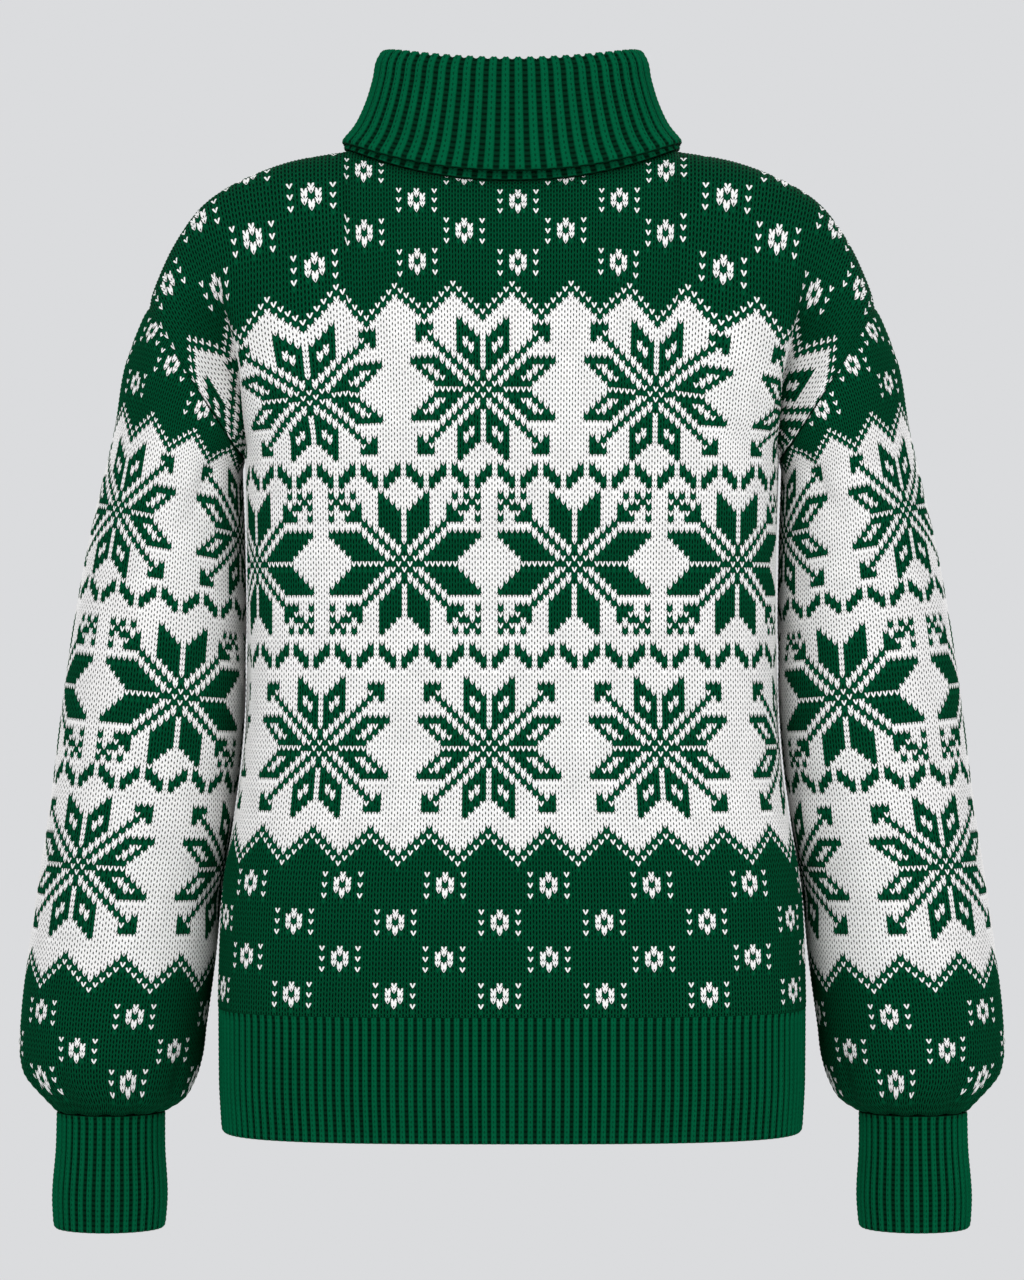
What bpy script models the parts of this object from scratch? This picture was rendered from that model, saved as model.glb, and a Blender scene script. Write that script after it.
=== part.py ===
"""A knitted drop-shoulder pullover with a folded collar, hollow and filled out as when it is worn.

Metres, +Z up, and the wearer's back faces -Y. The origin is the middle of the neck at shoulder height.
Each panel, sleeve, rib and the collar is a closed wall of cloth that stops just short of its neighbours.
"""

import bmesh
import bpy
import numpy as np

# Cloth
JERSEY_WALL = 0.003
RIB_WALL = 0.0036
SEAM_GAP = 0.0003

# Body tube, from the top of the hem rib to the underarm
HEM_BOTTOM = -0.630
HEM_TOP = -0.551
UNDERARM_HEIGHT = -0.200
BODY_ROUNDNESS = 3.2
BODY_COLUMNS = ("height", "half_width", "half_depth")
BODY = (
    (-0.630, 0.1862, 0.1000),
    (-0.595, 0.1880, 0.1015),
    (-0.551, 0.1883, 0.1015),
    (-0.520, 0.1877, 0.1005),
    (-0.474, 0.1853, 0.0990),
    (-0.431, 0.1780, 0.0970),
    (-0.367, 0.1710, 0.0950),
    (-0.300, 0.1697, 0.0945),
    (-0.200, 0.1715, 0.0960),
)

# Neck seam
NECK_HALF_WIDTH = 0.107
NECK_ROUNDNESS = 2.15
NECK_DEPTH = {"back": 0.064, "front": 0.070}
NECK_DROP = {"back": 0.026, "front": 0.044}
NECK_EDGE_RISE = 4 / 3

# Shoulder seam, from the neck to the point where the sleeve starts, in the x > 0 half
SHOULDER_COLUMNS = ("out", "height")
SHOULDER = (
    (0.1070, 0.0000),
    (0.1380, -0.0052),
    (0.1700, -0.0165),
    (0.1975, -0.0335),
    (0.2165, -0.0590),
    (0.2275, -0.0825),
    (0.2345, -0.1020),
)

# Share of a panel's half width that ends at the neck, and where its cloth turns out to the arm
NECK_SHARE = 0.44
ARM_TURN = 0.80

# How a panel's columns leave the underarm level, and the depth and drop they come to the top edge from
RISE_MIDDLE = 0.060
RISE_SIDE = 0.045
ARMHOLE_ROLL = 0.083
ARRIVAL_COLUMNS = ("share", "depth", "drop")
ARRIVAL = (
    (0.00, 0.0930, 0.0450),
    (0.22, 0.0905, 0.0410),
    (0.36, 0.0840, 0.0300),
    (0.46, 0.0770, 0.0200),
    (0.60, 0.0680, 0.0100),
    (0.80, 0.0620, 0.0040),
    (1.00, 0.0830, 0.0000),
)

# Underarm fold: an upright trough where the panel turns from the body to the arm, steep on the body's side.
# It fades out at this height above the underarm, and over the last columns before the armhole seam.
FOLD_OUT = 0.173
FOLD_LEAN = 0.13
FOLD_STEEP = 0.0050
FOLD_GENTLE = 0.018
FOLD_DEPTH = 0.015
FOLD_START = 0.012
FOLD_HOLD = 0.055
FOLD_END = 0.135
FOLD_SEAM_SHARE = 0.90

# Sleeve rings by their outer and inner ends, from the cuff up to the underarm
SLEEVE_COLUMNS = ("outer_x", "outer_z", "inner_x", "inner_z", "half_depth", "forward")
SLEEVE = (
    (0.2945, -0.6210, 0.2245, -0.6210, 0.0340, 0.010),
    (0.3030, -0.6110, 0.2135, -0.6140, 0.0440, 0.010),
    (0.3135, -0.5990, 0.2060, -0.6020, 0.0530, 0.010),
    (0.3178, -0.5840, 0.2010, -0.5870, 0.0580, 0.010),
    (0.3172, -0.5610, 0.1980, -0.5650, 0.0595, 0.010),
    (0.3125, -0.5185, 0.1922, -0.5220, 0.0600, 0.010),
    (0.3055, -0.4700, 0.1873, -0.4740, 0.0600, 0.009),
    (0.2985, -0.4240, 0.1801, -0.4300, 0.0600, 0.008),
    (0.2905, -0.3600, 0.1735, -0.3700, 0.0600, 0.007),
    (0.2815, -0.2980, 0.1720, -0.3120, 0.0600, 0.006),
    (0.2700, -0.2400, 0.1725, -0.2600, 0.0610, 0.004),
    (0.2550, -0.1760, 0.1738, -0.2055, 0.0620, 0.001),
)

# Cuff rings, from the sleeve down
CUFF_COLUMNS = ("height", "outer_x", "inner_x", "half_depth")
CUFF = (
    (-0.6210, 0.2945, 0.2245, 0.0340),
    (-0.6420, 0.2950, 0.2245, 0.0335),
    (-0.6780, 0.2975, 0.2230, 0.0345),
    (-0.6960, 0.2965, 0.2245, 0.0335),
)
CUFF_FORWARD = 0.010

# How far the top of the sleeve bulges out below its seam
CAP_BULGE = 0.004

# Collar, along the middle of its cloth from the neck seam up, over the fold and down to the free edge
COLLAR_COLUMNS = ("half_width", "back_depth", "front_depth", "side_height", "back_height", "front_height")
COLLAR = (
    (0.1070, 0.0640, 0.0700, 0.0000, -0.0260, -0.0440),
    (0.1000, 0.0600, 0.0655, 0.0130, -0.0120, -0.0300),
    (0.0905, 0.0560, 0.0610, 0.0320, 0.0120, -0.0020),
    (0.0805, 0.0530, 0.0580, 0.0510, 0.0370, 0.0260),
    (0.0792, 0.0530, 0.0580, 0.0580, 0.0472, 0.0345),
    (0.0820, 0.0560, 0.0612, 0.0622, 0.0514, 0.0387),
    (0.0852, 0.0592, 0.0645, 0.0580, 0.0472, 0.0345),
    (0.0882, 0.0622, 0.0672, 0.0450, 0.0330, 0.0213),
    (0.0935, 0.0655, 0.0705, 0.0280, 0.0130, -0.0003),
    (0.1005, 0.0690, 0.0745, 0.0140, -0.0060, -0.0210),
    (0.1090, 0.0730, 0.0790, 0.0040, -0.0205, -0.0365),
)

# Facets
NECK_CELLS = 16
SHOULDER_CELLS = 6
ARMHOLE_CELLS = 10
BODY_CELLS = 10
HEM_CELLS = 2
FINE = 241
SHARP_DEGREES = 40

# Finishes: colour, roughness
PATTERNED_KNIT = ((0.38, 0.47, 0.42), 0.92)
GREEN_RIB = ((0.003, 0.098, 0.036), 0.90)


def named(table, columns, name):
    """One named column of a table, as an array."""
    return np.array([row[columns.index(name)] for row in table])


def records(table, columns):
    """The rows of a table, each by its column names."""
    return [dict(zip(columns, row)) for row in table]


def follow(at, stations, values):
    """A smooth curve through the stations that adds no hump of its own between them."""
    gaps = np.diff(stations)
    steps = np.diff(values) / gaps
    slopes = np.concatenate([steps[:1], np.zeros(len(steps) - 1), steps[-1:]])
    same_way = steps[:-1] * steps[1:] > 0
    total = np.where(same_way, steps[:-1] + steps[1:], 1.0)
    slopes[1:-1] = np.where(same_way, 2.0 * steps[:-1] * steps[1:] / total, 0.0)
    at = np.clip(at, stations[0], stations[-1])
    i = np.clip(np.searchsorted(stations, at, side="right") - 1, 0, len(gaps) - 1)
    s = (at - stations[i]) / gaps[i]
    start = values[i] * (1 + 2 * s) * (1 - s) ** 2 + values[i + 1] * s * s * (3 - 2 * s)
    return start + gaps[i] * (slopes[i] * s * (1 - s) ** 2 - slopes[i + 1] * s * s * (1 - s))


def along(line, shares):
    """Points of a polyline at these shares of its length."""
    lengths = np.concatenate([[0.0], np.cumsum(np.linalg.norm(np.diff(line, axis=0), axis=1))])
    at = np.asarray(shares) * lengths[-1]
    return np.stack([np.interp(at, lengths, line[:, k]) for k in range(line.shape[1])], axis=1)


def ease(share):
    """0 to 1 with a soft start and end."""
    share = np.clip(share, 0.0, 1.0)
    return share * share * (3.0 - 2.0 * share)


def quarter_round(half_width, half_depth, roundness):
    """From the middle of the back (0, depth) to the side (width, 0) of a rounded oblong."""
    turn = np.linspace(0.0, np.pi / 2, FINE)
    across = half_width * np.sin(turn) ** (2 / roundness)
    deep = half_depth * np.cos(turn).clip(0.0) ** (2 / roundness)
    return np.stack([across, deep], axis=1)


def body_ring(shares, height, face):
    """Half a ring of the body at this height: shares run from -1 at one side seam to 1 at the other."""
    heights = named(BODY, BODY_COLUMNS, "height")
    half_width = follow(height, heights, named(BODY, BODY_COLUMNS, "half_width"))
    half_depth = follow(height, heights, named(BODY, BODY_COLUMNS, "half_depth"))
    flat = along(quarter_round(half_width, half_depth, BODY_ROUNDNESS), np.abs(shares))
    return np.stack([np.sign(shares) * flat[:, 0], face * flat[:, 1], np.full(len(shares), height)], axis=1)


def neck_line(side):
    """The neck seam of one panel from its middle to the shoulder, out in x, deep in y."""
    flat = quarter_round(NECK_HALF_WIDTH, NECK_DEPTH[side], NECK_ROUNDNESS)
    height = -NECK_DROP[side] * (flat[:, 1] / NECK_DEPTH[side]) ** 2
    return np.column_stack([flat, height])


def shoulder_line():
    """The shoulder seam from the neck out to the sleeve."""
    out = named(SHOULDER, SHOULDER_COLUMNS, "out")
    height = named(SHOULDER, SHOULDER_COLUMNS, "height")
    run = np.concatenate([[0.0], np.cumsum(np.hypot(np.diff(out), np.diff(height)))])
    at = np.linspace(0.0, run[-1], FINE)
    return np.column_stack([follow(at, run, out), np.zeros(FINE), follow(at, run, height)])


def top_edge(shares, side):
    """Where each column of a panel ends: on the neck seam near the middle, or on the shoulder seam."""
    size = np.abs(shares)
    neck = along(neck_line(side), np.clip(size / NECK_SHARE, 0.0, 1.0))
    shoulder = along(shoulder_line(), np.clip((size - NECK_SHARE) / (1.0 - NECK_SHARE), 0.0, 1.0))
    return np.where((size <= NECK_SHARE)[:, None], neck, shoulder)


def upper_columns(shares, side):
    """Four guide points for each column of a panel above the underarm, in the x > 0 half with y = depth."""
    size = np.abs(shares)
    start = body_ring(size, UNDERARM_HEIGHT, 1.0)
    end = top_edge(shares, side)
    arm = ease((size - ARM_TURN) / (1.0 - ARM_TURN))[:, None]
    rise = RISE_MIDDLE + (RISE_SIDE - RISE_MIDDLE) * ease(size / ARM_TURN)
    up = np.column_stack([np.zeros(len(size)), np.zeros(len(size)), rise])
    leave = up * (1 - arm) + np.array([0.0, ARMHOLE_ROLL, 0.0]) * arm
    stations = named(ARRIVAL, ARRIVAL_COLUMNS, "share")
    before = end.copy()
    before[:, 0] = np.where(size < NECK_SHARE, NECK_HALF_WIDTH * size / NECK_SHARE, end[:, 0])
    before[:, 1] = follow(size, stations, named(ARRIVAL, ARRIVAL_COLUMNS, "depth"))
    before[:, 2] -= follow(size, stations, named(ARRIVAL, ARRIVAL_COLUMNS, "drop"))
    return start, start + leave, before, end


def fold_in(points, shares):
    """Presses the underarm fold into the upper half of a panel, in the x > 0 half with y = depth."""
    above = points[:, :, 2] - UNDERARM_HEIGHT
    past = points[:, :, 0] - (FOLD_OUT + FOLD_LEAN * above)
    across = np.exp(-((past / np.where(past < 0.0, FOLD_STEEP, FOLD_GENTLE)) ** 2))
    fade = ease(above / FOLD_START) * (1.0 - ease((above - FOLD_HOLD) / (FOLD_END - FOLD_HOLD)))
    at_seam = 1.0 - ease((np.abs(shares) - FOLD_SEAM_SHARE) / (1.0 - FOLD_SEAM_SHARE))
    sunk = points.copy()
    sunk[:, :, 1] -= FOLD_DEPTH * across * fade * at_seam[None, :]
    return sunk


def panel_surface(shares, side, body_heights, upper_steps):
    """The outside of a body panel as rows of points, from the hem rib up to the neck and shoulders."""
    face = -1.0 if side == "back" else 1.0
    lower = np.stack([body_ring(shares, height, face) for height in body_heights])
    guides = upper_columns(shares, side)
    t = np.linspace(0.0, 1.0, FINE)[:, None, None]
    weights = ((1 - t) ** 3, 3 * t * (1 - t) ** 2, 3 * t * t * (1 - t), t ** 3)
    fine = sum(weight * guide[None] for weight, guide in zip(weights, guides))
    upper = np.stack([along(fine[:, j], upper_steps) for j in range(len(shares))], axis=1)
    upper = fold_in(upper, shares)
    upper[:, :, 0] *= np.sign(shares)[None, :]
    upper[:, :, 1] *= face
    return np.concatenate([lower, upper[1:]])


def ring_points(outer, inner, half_depth, forward, turns):
    """A sleeve ring: turn 0 is its outer end, a half turn its inner end, and -Y comes first."""
    middle = (outer + inner) / 2
    reach = (outer - inner) / 2
    deep = np.array([0.0, -half_depth, 0.0])
    points = middle + np.cos(turns)[:, None] * reach + np.sin(turns)[:, None] * deep
    points[:, 1] += forward
    return points


def armhole(steps):
    """The sleeve seam from the underarm to the shoulder on both faces, read off the panels' side edges."""
    edge = np.array([1.0])
    up = {side: panel_surface(edge, side, [UNDERARM_HEIGHT], steps)[:, 0] for side in ("back", "front")}
    return np.concatenate([up["back"][::-1], up["front"][1:-1]])


def sleeve_surface(cells):
    """The outside of the x > 0 sleeve as rings, from the cuff up to the armhole seam."""
    turns = np.linspace(0.0, 2 * np.pi, 2 * cells, endpoint=False)
    rings = []
    for ring in records(SLEEVE, SLEEVE_COLUMNS):
        outer = np.array([ring["outer_x"], 0.0, ring["outer_z"]])
        inner = np.array([ring["inner_x"], 0.0, ring["inner_z"]])
        rings.append(ring_points(outer, inner, ring["half_depth"], ring["forward"], turns))
    seam = armhole(np.linspace(0.0, 1.0, cells + 1))
    cap = 0.5 * (rings[-1] + seam)
    cap[:, 0] += CAP_BULGE * (1 + np.cos(turns)) / 2
    return np.stack(rings + [cap, seam])


def cuff_surface(cells):
    """The outside of the x > 0 cuff as rings, from the sleeve down."""
    turns = np.linspace(0.0, 2 * np.pi, 2 * cells, endpoint=False)
    rings = []
    for ring in records(CUFF, CUFF_COLUMNS):
        outer = np.array([ring["outer_x"], 0.0, ring["height"]])
        inner = np.array([ring["inner_x"], 0.0, ring["height"]])
        rings.append(ring_points(outer, inner, ring["half_depth"], CUFF_FORWARD, turns))
    return np.stack(rings)


def collar_half(ring, side, shares):
    """A quarter of one collar ring, from its middle to the side."""
    depth = ring[f"{side}_depth"]
    flat = along(quarter_round(ring["half_width"], depth, NECK_ROUNDNESS), shares)
    lift = ring["side_height"] + (ring[f"{side}_height"] - ring["side_height"]) * (flat[:, 1] / depth) ** 2
    face = -1.0 if side == "back" else 1.0
    return np.column_stack([flat[:, 0], face * flat[:, 1], lift])


def collar_middle(cells):
    """The middle of the collar's cloth as rings, from the neck seam over the fold to the free edge."""
    shares = np.linspace(0.0, 1.0, cells // 2 + 1)
    rings = []
    for ring in records(COLLAR, COLLAR_COLUMNS):
        rear = collar_half(ring, "back", shares)
        fore = collar_half(ring, "front", shares)
        right = np.concatenate([rear, fore[-2::-1]])
        left = right[-2:0:-1] * np.array([-1.0, 1.0, 1.0])
        rings.append(np.concatenate([right, left]))
    return np.stack(rings)


def unit(vectors):
    return vectors / np.linalg.norm(vectors, axis=-1, keepdims=True)


def surface_normals(points, wrap, flip):
    """A normal at each point of a surface given as rows of points."""
    if wrap:
        across = np.roll(points, -1, axis=1) - np.roll(points, 1, axis=1)
    else:
        across = np.gradient(points, axis=1)
    normals = unit(np.cross(across, np.gradient(points, axis=0)))
    return -normals if flip else normals


def step_back(points, row, toward):
    """Moves one edge row half a seam gap back towards its own piece."""
    inward = unit(points[toward] - points[row])
    points[row] = points[row] + inward * SEAM_GAP / 2


def cloth_mesh(name, outside, normals, wall, wrap, finish):
    """A closed wall of cloth between an outside surface and the same surface set in by the wall."""
    rows, columns = outside.shape[:2]
    points = np.concatenate([outside.reshape(-1, 3), (outside - normals * wall).reshape(-1, 3)])
    outer = np.arange(rows * columns).reshape(rows, columns)
    inner = outer + rows * columns
    span = columns if wrap else columns - 1
    faces = []
    for j in range(span):
        k = (j + 1) % columns
        for i in range(rows - 1):
            faces.append((outer[i, j], outer[i, k], outer[i + 1, k], outer[i + 1, j]))
            faces.append((inner[i, j], inner[i + 1, j], inner[i + 1, k], inner[i, k]))
        faces.append((outer[0, j], inner[0, j], inner[0, k], outer[0, k]))
        faces.append((outer[-1, j], outer[-1, k], inner[-1, k], inner[-1, j]))
    if not wrap:
        for i in range(rows - 1):
            faces.append((outer[i, 0], outer[i + 1, 0], inner[i + 1, 0], inner[i, 0]))
            faces.append((outer[i, -1], inner[i, -1], inner[i + 1, -1], outer[i + 1, -1]))
    mesh = bpy.data.meshes.new(name)
    mesh.from_pydata(points.tolist(), [], [tuple(int(v) for v in face) for face in faces])
    tidy = bmesh.new()
    tidy.from_mesh(mesh)
    bmesh.ops.recalc_face_normals(tidy, faces=tidy.faces)
    tidy.to_mesh(mesh)
    tidy.free()
    mesh.shade_smooth()
    mesh.set_sharp_from_angle(angle=np.radians(SHARP_DEGREES))
    mesh.materials.append(finish)
    cloth = bpy.data.objects.new(name, mesh)
    bpy.context.scene.collection.objects.link(cloth)
    return cloth


def finish_of(name, look):
    """A Principled material from a colour and a roughness."""
    colour, roughness = look
    material = bpy.data.materials.new(name)
    material.use_nodes = True
    shader = material.node_tree.nodes["Principled BSDF"]
    shader.inputs["Base Color"].default_value = (*colour, 1.0)
    shader.inputs["Roughness"].default_value = roughness
    shader.inputs["Metallic"].default_value = 0.0
    return material


def panel_shares():
    """Column lines of a panel: even along the neck, then even along each shoulder."""
    neck = np.linspace(-NECK_SHARE, NECK_SHARE, NECK_CELLS + 1)
    out = np.linspace(NECK_SHARE, 1.0, SHOULDER_CELLS + 1)[1:]
    return np.concatenate([-out[::-1], neck, out])


def from_middle(ring):
    """Out from the middle of a ring, so that the two pieces sewn there share one edge."""
    return unit(ring - ring.mean(axis=0))


def make_panel(side, finish):
    """A body panel, its edges square to the cloth next to them at every seam."""
    shares = panel_shares()
    steps = np.linspace(0.0, 1.0, ARMHOLE_CELLS + 1)
    heights = np.linspace(HEM_TOP, UNDERARM_HEIGHT, BODY_CELLS + 1)
    surface = panel_surface(shares, side, heights, steps)
    normals = surface_normals(surface, wrap=False, flip=side == "front")
    seam = armhole(steps)
    around = from_middle(seam)
    back_half = around[ARMHOLE_CELLS::-1]
    front_half = np.concatenate([around[ARMHOLE_CELLS:], around[:1]])
    half = back_half if side == "back" else front_half
    for column, sign in ((0, -1.0), (-1, 1.0)):
        normals[:BODY_CELLS, column] = (sign, 0.0, 0.0)
        normals[BODY_CELLS:, column] = half * np.array([sign, 1.0, 1.0])
    normals[0, 1:-1, 2] = 0.0
    normals[0] = unit(normals[0])
    line = shoulder_line()
    slope = np.gradient(along(line, np.linspace(0.0, 1.0, SHOULDER_CELLS + 1)), axis=0)
    out_of_seam = unit(np.column_stack([-slope[:, 2], np.zeros(len(slope)), slope[:, 0]]))
    normals[-1, -SHOULDER_CELLS - 1 : -1] = out_of_seam[:-1]
    normals[-1, 1 : SHOULDER_CELLS + 1] = out_of_seam[:-1][::-1] * np.array([-1.0, 1.0, 1.0])
    neck = slice(SHOULDER_CELLS + 1, -SHOULDER_CELLS - 1)
    outwards = unit(surface[-1, neck] * np.array([1.0, 1.0, 0.0]))
    normals[-1, neck] = unit(outwards + np.array([0.0, 0.0, NECK_EDGE_RISE]))
    step_back(surface, 0, 1)
    step_back(surface, -1, -2)
    turned = surface.swapaxes(0, 1)
    step_back(turned, 0, 1)
    step_back(turned, -1, -2)
    return cloth_mesh(f"{side}_panel", surface, normals, JERSEY_WALL, False, finish)


def make_hem_rib(side, finish):
    """Half of the hem rib, under its panel."""
    face = -1.0 if side == "back" else 1.0
    shares = panel_shares()
    heights = np.linspace(HEM_BOTTOM, HEM_TOP, HEM_CELLS + 1)
    surface = np.stack([body_ring(shares, height, face) for height in heights])
    normals = surface_normals(surface, wrap=False, flip=side == "front")
    normals[:, 0] = (-1.0, 0.0, 0.0)
    normals[:, -1] = (1.0, 0.0, 0.0)
    normals[-1, :, 2] = 0.0
    normals[-1] = unit(normals[-1])
    step_back(surface, -1, -2)
    turned = surface.swapaxes(0, 1)
    step_back(turned, 0, 1)
    step_back(turned, -1, -2)
    return cloth_mesh(f"hem_rib_{side}", surface, normals, RIB_WALL, False, finish)


def mirrored(surface, normals, sign):
    """The same surface and normals on the garment's other side."""
    flip = np.array([sign, 1.0, 1.0])
    return surface * flip, normals * flip


def make_sleeve(name, sign, finish):
    """A sleeve from its gathered lower end up to the armhole."""
    surface = sleeve_surface(ARMHOLE_CELLS)
    normals = surface_normals(surface, wrap=True, flip=True)
    normals[-1] = from_middle(surface[-1])
    normals[0] = from_middle(surface[0])
    step_back(surface, -1, -2)
    step_back(surface, 0, 1)
    surface, normals = mirrored(surface, normals, sign)
    return cloth_mesh(name, surface, normals, JERSEY_WALL, True, finish)


def make_cuff(name, sign, finish):
    """A ribbed cuff under its sleeve."""
    surface = cuff_surface(ARMHOLE_CELLS)
    normals = surface_normals(surface, wrap=True, flip=False)
    normals[0] = from_middle(surface[0])
    step_back(surface, 0, 1)
    surface, normals = mirrored(surface, normals, sign)
    return cloth_mesh(name, surface, normals, RIB_WALL, True, finish)


def make_collar(finish):
    """The folded collar: its stand, the fold and the outer ply in one piece of rib."""
    middle = collar_middle(NECK_CELLS)
    normals = surface_normals(middle, wrap=True, flip=False)
    step_back(middle, 0, 1)
    outside = middle + normals * RIB_WALL / 2
    return cloth_mesh("collar", outside, normals, RIB_WALL, True, finish)


def main():
    for thing in list(bpy.data.objects):
        bpy.data.objects.remove(thing)
    knit = finish_of("patterned_knit", PATTERNED_KNIT)
    rib = finish_of("green_rib", GREEN_RIB)
    for side in ("back", "front"):
        make_panel(side, knit)
        make_hem_rib(side, rib)
    for name, sign in (("left", -1.0), ("right", 1.0)):
        make_sleeve(f"sleeve_{name}", sign, knit)
        make_cuff(f"cuff_{name}", sign, rib)
    make_collar(rib)


main()
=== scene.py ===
"""The looks of a knitted drop-shoulder pullover, stitch by stitch.

Metres, +Z up, the wearer's back to -Y. The jersey is a grid of real stitches, each a V of two plump legs,
coloured by charts worked out below. The ribs are turned from their own profile.
"""

import bmesh
import bpy
import numpy as np
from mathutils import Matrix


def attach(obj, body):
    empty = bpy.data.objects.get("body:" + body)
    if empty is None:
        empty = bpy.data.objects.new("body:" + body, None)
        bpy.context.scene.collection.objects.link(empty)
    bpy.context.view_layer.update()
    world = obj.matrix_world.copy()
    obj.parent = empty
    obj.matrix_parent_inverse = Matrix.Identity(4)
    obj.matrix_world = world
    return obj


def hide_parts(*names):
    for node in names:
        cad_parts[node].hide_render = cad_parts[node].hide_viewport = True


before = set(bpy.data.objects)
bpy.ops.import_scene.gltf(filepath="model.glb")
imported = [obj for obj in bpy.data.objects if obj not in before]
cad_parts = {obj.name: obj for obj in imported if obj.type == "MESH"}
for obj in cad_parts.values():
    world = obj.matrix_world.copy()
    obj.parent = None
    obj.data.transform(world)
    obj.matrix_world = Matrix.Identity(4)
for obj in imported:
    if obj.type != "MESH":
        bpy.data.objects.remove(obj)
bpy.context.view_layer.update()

MM = 0.001

# Cloth
JERSEY_WALL = 0.003
RIB_WALL = 0.0036
LEG_PLUMP = 0.0006
LEG_HEART = (0.25, 0.5)
LEAST_RISE = 1e-6
SEAM_ROLL = 0.0013
SEAM_ROLL_WIDTH = 1.1
CUFF_ROLL = 0.6
STITCH_WIDTH = 0.00378
ROW_HEIGHT = 0.00345

# Body tube
HEM_BOTTOM = -0.630
HEM_TOP = -0.551
UNDERARM_HEIGHT = -0.200
BODY_ROUNDNESS = 3.2
# Tables give lengths in millimetres
BODY_COLUMNS = ("height", "half_width", "half_depth")
BODY = (
    (-630, 186.2, 100),
    (-595, 188, 101.5),
    (-551, 188.3, 101.5),
    (-520, 187.7, 100.5),
    (-474, 185.3, 99),
    (-431, 178, 97),
    (-367, 171, 95),
    (-300, 169.7, 94.5),
    (-200, 171.5, 96),
)

# Neck and shoulder seams
NECK_HALF_WIDTH = 0.107
NECK_ROUNDNESS = 2.15
NECK_DEPTH = {"back": 0.064, "front": 0.070}
NECK_DROP = {"back": 0.026, "front": 0.044}
SHOULDER_COLUMNS = ("out", "height")
SHOULDER = (
    (107, 0),
    (138, -5.2),
    (170, -16.5),
    (197.5, -33.5),
    (216.5, -59),
    (227.5, -82.5),
    (234.5, -102),
)
NECK_SHARE = 0.44
ARM_TURN = 0.80

# How a panel's columns leave the underarm level, and the depth and drop they come to the top edge from
RISE_MIDDLE = 0.060
RISE_SIDE = 0.045
ARMHOLE_ROLL = 0.083
ARRIVAL_COLUMNS = ("share", "depth", "drop")
ARRIVAL = (
    (0, 93, 45),
    (0.22, 90.5, 41),
    (0.36, 84, 30),
    (0.46, 77, 20),
    (0.6, 68, 10),
    (0.8, 62, 4),
    (1, 83, 0),
)

# Underarm fold: an upright trough where the panel turns from the body to the arm, steep on the body's side
FOLD_OUT = 0.173
FOLD_LEAN = 0.13
FOLD_STEEP = 0.0040
FOLD_GENTLE = 0.017
FOLD_DEPTH = 0.019
FOLD_TUCK = 0.009
FOLD_START = 0.012
FOLD_HOLD = 0.055
FOLD_END = 0.135
FOLD_SEAM_SHARE = 0.90
FOLD_SPREAD_FROM = 0.50

# Sleeve rings by their outer and inner ends, from the cuff up to the underarm, and the knitted row of each
SLEEVE_COLUMNS = ("outer_x", "outer_z", "inner_x", "inner_z", "half_depth", "forward", "row")
SLEEVE = (
    (294.5, -621, 224.5, -621, 34, 10, 0),
    (303, -611, 213.5, -614, 44, 10, 1.7),
    (313.5, -599, 206, -602, 53, 10, 4.4),
    (317.8, -584, 201, -587, 58, 10, 8.5),
    (317.2, -561, 198, -565, 59.5, 10, 15.5),
    (312.5, -518.5, 192.2, -522, 60, 10, 28.5),
    (305.5, -470, 187.3, -474, 60, 9, 42),
    (298.5, -424, 180.1, -430, 60, 8, 55),
    (290.5, -360, 173.5, -370, 60, 7, 73),
    (281.5, -298, 172, -312, 60, 6, 90),
    (270, -240, 172.5, -260, 61, 4, 107),
    (255, -176, 173.8, -205.5, 62, 1, 125),
)
CAP_LEVEL = 133.0
SEAM_LEVEL = 141.0
CAP_BULGE = 0.004

CUFF_COLUMNS = ("height", "outer_x", "inner_x", "half_depth")
CUFF = (
    (-621, 294.5, 224.5, 34),
    (-642, 295, 224.5, 33.5),
    (-678, 297.5, 223, 34.5),
    (-696, 296.5, 224.5, 33.5),
)
CUFF_FORWARD = 0.010

# Collar, along the middle of its cloth from the neck seam up, over the fold and down to the free edge
COLLAR_COLUMNS = ("half_width", "back_depth", "front_depth", "side_height", "back_height", "front_height")
COLLAR = (
    (107, 64, 70, 0, -26, -44),
    (100, 60, 65.5, 13, -12, -30),
    (90.5, 56, 61, 32, 12, -2),
    (80.5, 53, 58, 51, 37, 26),
    (79.2, 53, 58, 58, 47.2, 34.5),
    (82, 56, 61.2, 62.2, 51.4, 38.7),
    (85.2, 59.2, 64.5, 58, 47.2, 34.5),
    (88.2, 62.2, 67.2, 45, 33, 21.3),
    (93.5, 65.5, 70.5, 28, 13, -0.3),
    (100.5, 69, 74.5, 14, -6, -21),
    (109, 73, 79, 4, -20.5, -36.5),
)

# Knitting
PANEL_STITCHES = 129
SLEEVE_STITCHES = 96
UNDERARM_ROW = 102.7
ROW_COLUMNS = ("height", "row")
BODY_ROWS = (
    (-551, 0),
    (-469.2, 25),
    (-384.2, 50),
    (-269.1, 83),
    (-200, 102.7),
)
BODY_STEPS = 106
UPPER_STEPS = 56
SLEEVE_STEPS = 189
INNER_ROWS = 4
PANEL_INNER_COLUMNS = 3
SLEEVE_INNER_COLUMNS = 6
UPPER_CROWDING = 0.38
CROWDING_FROM = 0.20
CROWDING_FULL = 0.62
NECK_MIDDLE_ROW = {"back": 153.8, "front": 149.3}
NECK_SIDE_ROW = 161.3
NECK_CURVE = 2.2
SHOULDER_POINT_ROW = 148.3
SLEEVE_TOP_ROW = {"shoulder": 150.0, "underarm": 128.0}
FINE = 241

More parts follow.
